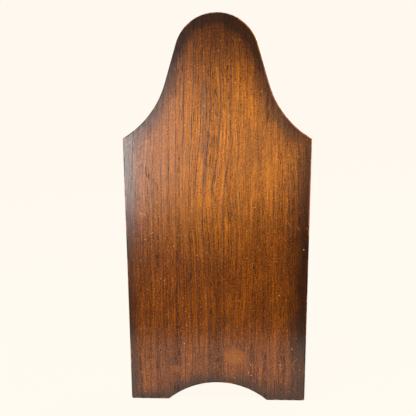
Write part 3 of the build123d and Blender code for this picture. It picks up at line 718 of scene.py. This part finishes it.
def add_gusset():
    """The bag's leather: nailed down at both bearers, with two deep inward folds and the rib in between."""
    path = bag_path(0.0, BLOCK_TOP_Z - 0.5, GUSSET_STEP)
    run = np.arange(len(path)) * GUSSET_STEP
    rise = np.clip((path[:, 1] - BLOCK_TOP_Z) / (BAG_TOP_Z - BLOCK_TOP_Z), 0, 1)
    margin = MIDDLE_Y - BACK_INNER_Y - 1.2
    gap = MIDDLE_Y - BACK_BEARER_Y
    crest = 0.22 * uneven(run, 7, 40)
    halves = []
    for sign, seed in ((-1, 3), (1, 4)):
        depth = FOLD_DEPTH_AT_HINGE + FOLD_DEPTH_GAIN * rise**0.7 * (1 + 0.10 * uneven(run, seed, 90))
        sway = 0.30 * uneven(run, seed + 10, 60)
        half = [  # outwards, and away from the middle
            (0.6, margin),
            (0.6, margin - 5),
            (0.65 + 0.1 * uneven(run, seed + 20, 30), gap + 0.7),
            (-0.6, gap - 0.75),
            (-depth * 0.5, 6.3 + sway * 0.5),
            (-depth - 1.5, 5.0 + sway),
            (-depth - 1.5, 3.9 + sway),
            (-depth * 0.5, 3.1 + sway * 0.4),
            (0.1, 2.3),
            (1.0 + crest, 1.2),
        ]
        halves.append(cross_sections(run, [(outwards, MIDDLE_Y + sign * away) for outwards, away in half]))
    middle = cross_sections(run, [(1.1 + crest, MIDDLE_Y)])
    sections = chaikin(np.concatenate([halves[0], middle, halves[1][:, ::-1]], axis=1), 2)
    mesh = grid_mesh("gusset", round_the_bag(path, sections))
    deepest = np.maximum(-sections[..., 0].min(axis=1, keepdims=True), 1.0)
    ridge = np.clip(1 + sections[..., 0] / deepest, 0, 1)
    mesh.attributes.new("ridge", "FLOAT", "POINT").data.foreach_set("value", ridge.astype(np.float32).ravel())
    gusset = add_sheet("bag_gusset", mesh, BAG_LEATHER, GUSSET_THICKNESS)
    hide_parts("leather_gusset")
    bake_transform(gusset)


def add_hinge_leather():
    """Strip that seals the hinge line inside the bag."""
    low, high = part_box("hinge_leather")
    near, floor_z = high.y / MM - 0.6, BLOCK_TOP_Z + 0.6
    profile = chaikin(np.array([
        (low.y / MM, floor_z), (near - 7, floor_z), (near - 1.6, floor_z), (near, floor_z + 1.6),
        (near, floor_z + 6), (near, high.z / MM),
    ]), 3)
    x = np.linspace(low.x / MM, high.x / MM, 45)
    ripple = 0.12 * uneven(x, 31, 50)
    points = grid_points(x[:, None], profile[:, 0] - np.abs(ripple)[:, None], profile[:, 1])
    strip = add_sheet("hinge_seal", grid_mesh("hinge seal", points), SEAL_LEATHER, HINGE_SEAL_THICKNESS)
    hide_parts("hinge_leather")
    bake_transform(strip)


def add_block_leather():
    """The bag's lower ends, flat on the block's sides above the short welts."""
    y = np.linspace(BACK_INNER_Y + 0.6, FRONT_INNER_Y - 0.6, 30)
    z = np.linspace(BLOCK_TOP_Z - 2.9, BLOCK_TOP_Z + 2.5, 6)
    x = side_x(z, BAG_INSET - 0.55) + 0.05 * uneven(y, 41, 12)[:, None]
    loose_edge = 0.3 * uneven(y, 43, 20)[:, None] * (z > BLOCK_TOP_Z + 1)
    for name, hand in (("left", -1), ("right", 1)):
        mesh = grid_mesh("block leather", grid_points(hand * x, y[:, None], z + loose_edge))
        panel = add_sheet(f"block_leather_{name}", mesh, SEAL_LEATHER, BLOCK_LEATHER_THICKNESS)
        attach(panel, "stand")


def add_corner_leather():
    """Small webs inside the bag's lower corners, to keep the corners shut."""
    base, top = BLOCK_TOP_Z + 0.15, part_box("front_bearer_left")[0].z / MM - 0.1
    rib_room = 0.6
    y = np.linspace(BACK_BEARER_Y + 0.7, FRONT_INNER_Y - 2.6, 34)
    under_rib = np.clip((MIDDLE_Y + 6 - y) / 4, 0, 1)
    z = base + np.linspace(0, 1, 13) * (top - rib_room * under_rib - base)[:, None]
    x = side_x(z, BAG_INSET + 5.2) + 0.15 * uneven(y, 51, 14)[:, None]
    for name, hand in (("left", -1), ("right", 1)):
        mesh = grid_mesh("corner web", grid_points(hand * x, y[:, None], z))
        web = add_sheet(f"corner_web_{name}", mesh, SEAL_LEATHER, WEB_THICKNESS)
        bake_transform(web)


def add_welt(board, body, middle_y, bottom_z, seed):
    """Leather strip over the bag's margin, pressed in a little under each nail. Gives the nails' places."""
    path = bag_path(-WELT_THICKNESS, bottom_z, WELT_STEP)
    run = np.arange(len(path)) * WELT_STEP
    nails = bag_path(-WELT_THICKNESS, bottom_z + NAIL_END_MARGIN, NAIL_SPACING)
    to_nail = np.hypot(path[:, None, 0] - nails[None, :, 0], path[:, None, 1] - nails[None, :, 1]).min(axis=1)
    proud, pressed_in, press_radius = 0.30, 0.42, 3.2
    top = proud - pressed_in * np.exp(-((to_nail / press_radius) ** 2))
    half = WELT_WIDTH / 2 + 0.15 * uneven(run, seed, 45)
    under, side, shoulder = -1.35, -0.55, top - 0.25
    outline = [  # outwards, and across in half-widths
        (under, -1.0), (under, 0.0), (under, 1.0), (side, 1.04), (shoulder, 0.93), (top, 0.3), (top, -0.3),
        (shoulder, -0.93), (side, -1.04),
    ]
    sections = cross_sections(run, [(outwards, middle_y + across * half) for outwards, across in outline])
    closed = np.concatenate([sections, sections[:, :1]], axis=1)
    rounded = chaikin(closed, 2)[:, :-1]
    mesh = grid_mesh(f"{board} welt", round_the_bag(path, rounded), ring=True)
    welt = add_object(f"{board}_welt_strip", mesh, WELT_LEATHER)
    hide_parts(f"{board}_welt")
    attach(welt, body)
    return nails


# ---- Domed nails, grown on points -----------------------------------------------------------------------------
class Growth(Tree):
    """A Geometry Nodes tree with named inputs."""

    def __init__(self, name, inputs):
        super().__init__(bpy.data.node_groups.new(name, "GeometryNodeTree"))
        self.sockets = {}
        for socket, (kind, value) in inputs.items():
            made = self.tree.interface.new_socket(socket, in_out="INPUT", socket_type=kind)
            self.sockets[socket] = (made.identifier, value)
        self.tree.interface.new_socket("Geometry", in_out="OUTPUT", socket_type="NodeSocketGeometry")
        self.start = self.tree.nodes.new("NodeGroupInput")

    def input(self, name):
        return Value(self, self.start.outputs[name])

    def end(self, geometry, material):
        whole = self.node("GeometryNodeRealizeInstances", None, {"Geometry": geometry})
        painted = self.node("GeometryNodeSetMaterial", None, {"Geometry": whole, "Material": material})
        self.node("NodeGroupOutput", None, {"Geometry": painted})

    def grow(self, name, mesh, **values):
        """Runs the tree on a mesh and gives the plain result as an object."""
        made = add_object(name, mesh)
        modifier = made.modifiers.new("growth", "NODES")
        modifier.node_group = self.tree
        for socket, (identifier, default) in self.sockets.items():
            value = values.get(socket.replace(" ", "_").lower(), default)
            if value is not None:
                modifier[identifier] = value
        return applied(made)


def nail_growth():
    """Nails with a domed head and a plain shank, each leaning a little its own way."""
    g = Growth("domed nails", {
        "Points": ("NodeSocketGeometry", None),
        "Head Radius": ("NodeSocketFloat", 3.0 * MM),
        "Head Height": ("NodeSocketFloat", 2.0 * MM),
        "Shank Radius": ("NodeSocketFloat", 0.65 * MM),
        "Shank Length": ("NodeSocketFloat", 10.0 * MM),
        "Seed": ("NodeSocketInt", 1),
        "Material": ("NodeSocketMaterial", None),
    })
    ball = g.node("GeometryNodeMeshUVSphere", None, {"Segments": 20, "Rings": 14, "Radius": 1.0})
    x, y, z = g.parts(g.node("GeometryNodeInputPosition"))
    dome = g.node("GeometryNodeSetPosition", None, {"Geometry": ball, "Position": g.vector(x, y, z.max(0.0))})
    size = g.vector(g.input("Head Radius"), g.input("Head Radius"), g.input("Head Height"))
    head = g.node("GeometryNodeTransform", None, {"Geometry": dome, "Scale": size})
    rod = g.node("GeometryNodeMeshCylinder", None, {"Vertices": 8, "Radius": 1.0, "Depth": 1.0}, "Mesh")
    thin = g.vector(g.input("Shank Radius"), g.input("Shank Radius"), g.input("Shank Length"))
    place = g.vector(0.0, 0.0, g.input("Shank Length") * -0.5)
    shank = g.node("GeometryNodeTransform", None, {"Geometry": rod, "Scale": thin, "Translation": place})
    nail = g.node("GeometryNodeJoinGeometry", None, {"Geometry": [head, shank]})
    smooth = g.node("GeometryNodeSetShadeSmooth", None, {"Geometry": nail})
    outward = g.node("GeometryNodeInputNamedAttribute", {"data_type": "FLOAT_VECTOR"}, {"Name": "outward"})
    lean = 0.07
    leans = g.node(
        "FunctionNodeRandomValue", {"data_type": "FLOAT_VECTOR"},
        {"Min": (-lean,) * 3, "Max": (lean,) * 3, "Seed": g.input("Seed")},
    )
    leaning = g.node("ShaderNodeVectorMath", {"operation": "ADD"}, {0: outward, 1: leans})
    turn = g.node("FunctionNodeAlignRotationToVector", {"axis": "Z"}, {"Vector": leaning})
    least, most, number_out = 2, 3, 1  # the node's sockets for plain numbers
    scale = g.node(
        "FunctionNodeRandomValue", {"data_type": "FLOAT"}, {least: 0.96, most: 1.03, "Seed": g.input("Seed")},
        number_out,
    )
    nails = g.node("GeometryNodeInstanceOnPoints", None, {
        "Points": g.input("Points"), "Instance": smooth, "Rotation": turn, "Scale": scale,
    })
    g.end(nails, g.input("Material"))
    return g


def add_nails(growth, name, body, places, seed):
    """places are rows of a point and its outward direction, in millimetres."""
    places = np.array(places)
    mesh = bpy.data.meshes.new(name)
    mesh.from_pydata((places[:, :3] * MM).tolist(), [], [])
    mesh.attributes.new("outward", "FLOAT_VECTOR", "POINT").data.foreach_set("vector", places[:, 3:].ravel())
    nails = growth.grow(f"{name}_domed", mesh, material=NAIL_BRASS, seed=seed)
    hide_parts(name)
    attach(nails, body)


def nails_on_path(path, y):
    return [(x, y, z, cos(angle), 0.0, sin(angle)) for x, z, angle in path]


def nails_on_block():
    """Three nails through each of the short welts on the block's sides."""
    nail_z = BLOCK_TOP_Z - BLOCK_WELT_DROP + WELT_WIDTH / 2
    nail_x = side_x(nail_z, BAG_INSET - WELT_THICKNESS)
    reach = (FRONT_INNER_Y - BACK_INNER_Y) / 2 - BLOCK_NAIL_MARGIN
    return [
        (hand * nail_x, MIDDLE_Y + along * reach, nail_z, hand * cos(TAPER), 0.0, -sin(TAPER))
        for hand in (-1, 1) for along in (-1, 0, 1)
    ]


def add_bag():
    add_gusset()
    add_hinge_leather()
    add_block_leather()
    add_corner_leather()
    growth = nail_growth()
    back_y, front_y = (BACK_INNER_Y + BACK_BEARER_Y) / 2, (FRONT_INNER_Y + FRONT_BEARER_Y) / 2
    back_nails = add_welt("back", "stand", back_y, BLOCK_TOP_Z, 21)
    front_nails = add_welt("front", "front", front_y, BLOCK_TOP_Z + FRONT_WELT_RISE, 22)
    add_nails(growth, "back_nails", "stand", nails_on_path(back_nails, back_y), 1)
    add_nails(growth, "front_nails", "front", nails_on_path(front_nails, front_y), 2)
    add_nails(growth, "block_nails", "stand", nails_on_block(), 3)


add_bag()


# ---- Floor, light and camera ----------------------------------------------------------------------------------
BACK_FACE_Y = CAD_BOX[0][1]
CARD_Y = BACK_FACE_Y - 1.5
FLOOR_EDGE_Y = BACK_FACE_Y - 0.32
FLOOR_Z = -0.0005
FLOOR_HALF_WIDTH = 4.0
SWEEP_Y, SWEEP_RADIUS, WALL_TOP_Z = 2.2, 0.8, 4.0
CREAM = (1.0, 0.947, 0.863, 1.0)
MATTE_SHARE = 0.02
WARM_DIM, DIM_STRENGTH = (1.0, 0.97, 0.93, 1.0), 0.04


def pale_ground():
    """Mostly its own glow, stronger in reflections, with a little matte surface that takes a soft shadow."""
    s = Shader("pale ground")
    strength = s.node("ShaderNodeLightPath", output="Is Glossy Ray") * 1.5 + 1.0
    glow = s.node("ShaderNodeEmission", None, {"Color": CREAM, "Strength": strength}, "Emission")
    matte = s.node("ShaderNodeBsdfDiffuse", None, {"Color": CREAM}, "BSDF")
    return s.end(s.node("ShaderNodeMixShader", None, {0: MATTE_SHARE, 1: glow, 2: matte}, "Shader"))


def add_floor():
    """A pale floor that starts a little in front of the board and sweeps up behind it."""
    profile = [(FLOOR_EDGE_Y, FLOOR_Z), (SWEEP_Y, FLOOR_Z)]
    for turn in np.linspace(0, pi / 2, 17)[1:]:
        profile.append((SWEEP_Y + SWEEP_RADIUS * sin(turn), FLOOR_Z + SWEEP_RADIUS * (1 - cos(turn))))
    profile.append((SWEEP_Y + SWEEP_RADIUS, WALL_TOP_Z))
    points = [(x, y, z) for y, z in profile for x in (-FLOOR_HALF_WIDTH, FLOOR_HALF_WIDTH)]
    faces = [(2 * i, 2 * i + 1, 2 * i + 3, 2 * i + 2) for i in range(len(profile) - 1)]
    mesh = bpy.data.meshes.new("floor")
    mesh.from_pydata(points, [], faces)
    mesh.polygons.foreach_set("use_smooth", [True] * len(faces))
    add_object("floor", mesh, pale_ground())


def add_area(name, place, target, size, power, color=(1, 1, 1)):
    """A rectangular light of this width and height, in metres, aimed at a point."""
    light = bpy.data.lights.new(name, "AREA")
    light.shape = "RECTANGLE"
    light.size, light.size_y = size
    light.energy = power
    light.color = color
    lamp = add_object(name, light)
    lamp.location = place
    lamp.rotation_euler = (Vector(target) - Vector(place)).to_track_quat("-Z", "Y").to_euler()
    lamp.visible_camera = False


def add_lights():
    """A key above, one behind, and flat cards that lie as haze in the back board's varnish."""
    add_area("upper front", (-0.15, -1.3, 1.55), (0, BACK_FACE_Y, 0.3), (1.0, 0.7), 69, (1.0, 0.955, 0.87))
    for name, x, z, size, power in (
        ("left card", -0.38, 0.19, (0.18, 0.32), 3.5),
        ("left wash", -0.245, 0.21, (0.09, 0.30), 0.42),
        ("broad wash", -0.11, 0.18, (0.44, 0.25), 0.60),
    ):
        add_area(name, (x, CARD_Y, z), (x, 0, z), size, power)
    add_area("rear key", (0.9, 1.5, 1.3), (0, 0, 0.2), (1.8, 1.8), 34)


def add_camera():
    """Looks at the back board from a little to the right and above."""
    azimuth, pitch, roll, distance = radians(4.2), radians(6.0), radians(-0.19), 1.4
    frame_width, focal_length, sensor_width = 416, 1363.0, 36.0
    target = Vector((0.0, BACK_FACE_Y, 0.2))
    back = Vector((sin(azimuth) * cos(pitch), -cos(azimuth) * cos(pitch), sin(pitch)))
    right = Vector((cos(azimuth), sin(azimuth), 0.0))
    up = back.cross(right)
    right, up = cos(roll) * right + sin(roll) * up, cos(roll) * up - sin(roll) * right
    data = bpy.data.cameras.new("camera")
    data.sensor_width = sensor_width
    data.lens = focal_length / frame_width * sensor_width
    data.shift_x, data.shift_y = -9.1 / frame_width, 0.6 / frame_width
    camera = add_object("camera", data)
    turn = Matrix((right, up, back)).transposed().to_4x4()
    camera.matrix_world = Matrix.Translation(target + distance * back) @ turn
    bpy.context.scene.camera = camera


def add_world():
    """Dim surroundings for light and reflections, and a plain pale ground behind everything."""
    world = bpy.data.worlds.new("studio")
    world.use_nodes = True
    w = Tree(world.node_tree)
    dim = w.node("ShaderNodeBackground", None, {"Color": WARM_DIM, "Strength": DIM_STRENGTH})
    pale = w.node("ShaderNodeBackground", None, {"Color": CREAM})
    seen = w.node("ShaderNodeLightPath", output="Is Camera Ray")
    both = w.node("ShaderNodeMixShader", None, {0: seen, 1: dim, 2: pale})
    w.node("ShaderNodeOutputWorld", None, {"Surface": both})
    bpy.context.scene.world = world


add_floor()
add_world()
add_camera()
add_lights()
scene = bpy.context.scene
scene.view_settings.view_transform = "Standard"
scene.view_settings.look = "None"
